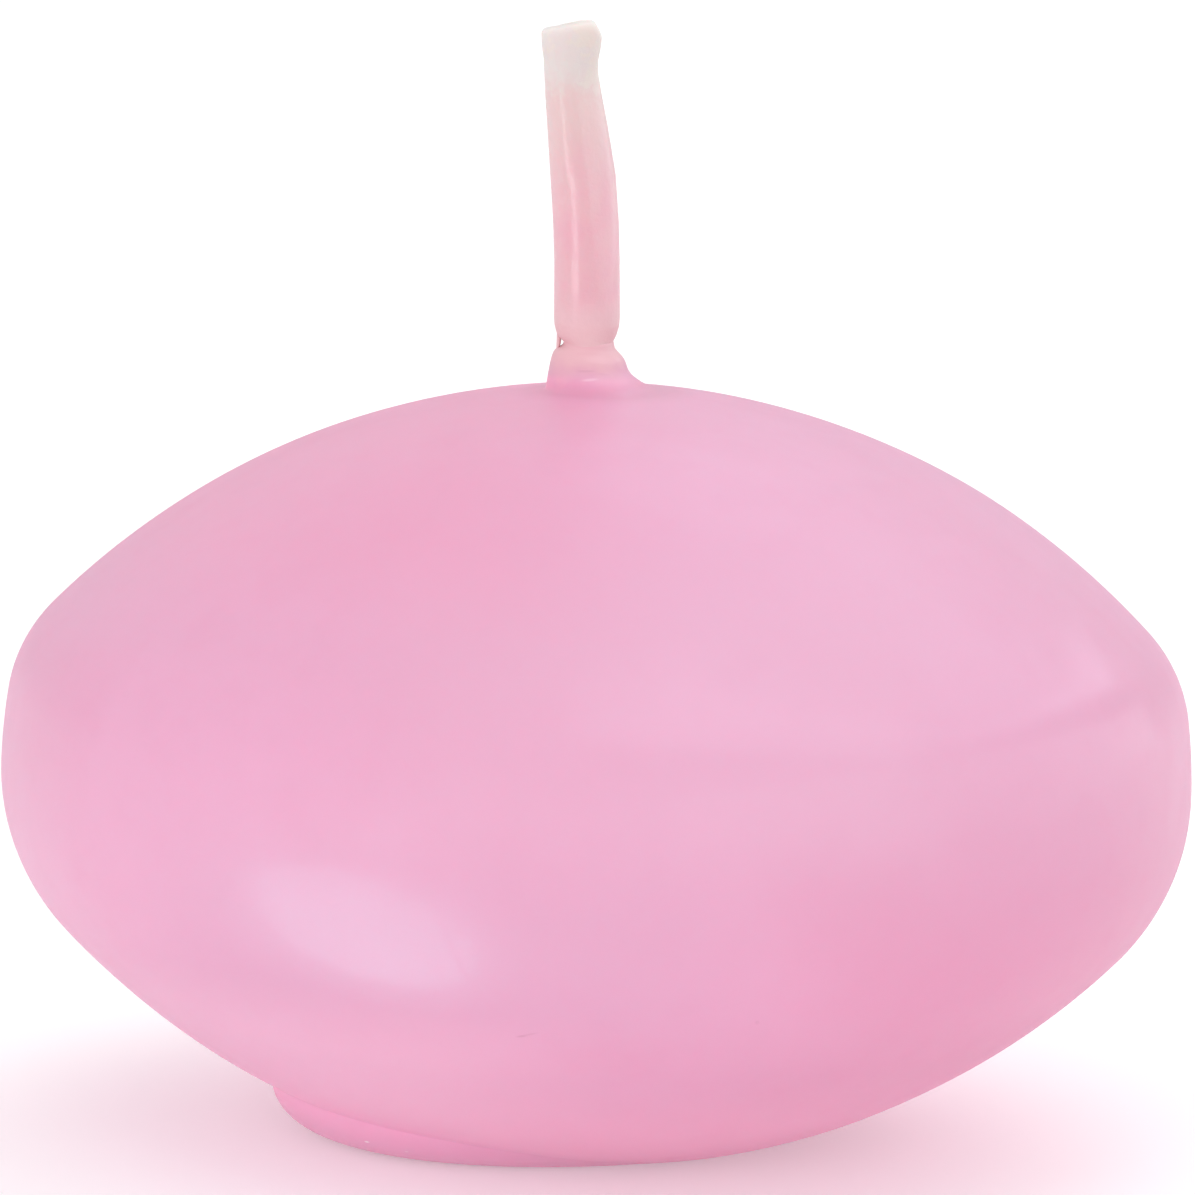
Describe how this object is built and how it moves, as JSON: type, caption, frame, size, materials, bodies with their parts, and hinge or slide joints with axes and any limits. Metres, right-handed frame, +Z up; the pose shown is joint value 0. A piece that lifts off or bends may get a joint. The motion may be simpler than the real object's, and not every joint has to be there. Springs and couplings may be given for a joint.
{
  "type": "floating candle",
  "caption": "Lens-shaped pink wax candle that floats on water, with a waxed wick that leans from a small collar and a shallow round foot.",
  "frame": {"origin": "on the flat of the foot, below the middle of the lens-shaped body", "axes": "+Z up along the axis of the lens; the picture looks along +Y, so +X is to the right in it, and the foot pad and the wick's lean are towards -X"},
  "size_m": [0.045, 0.045, 0.0419],
  "materials": {
    "wax": "dipped wax, soft satin sheen, slightly translucent",
    "waxed_cotton": "cotton braid under a thin wax coat, bare and cream at the tip",
    "tinplate": "bright pressed sheet"
  },
  "bodies": {
    "root": {"wax_body": "wax", "wick": "waxed_cotton", "wick_sustainer": "tinplate"}
  },
  "joints": []
}
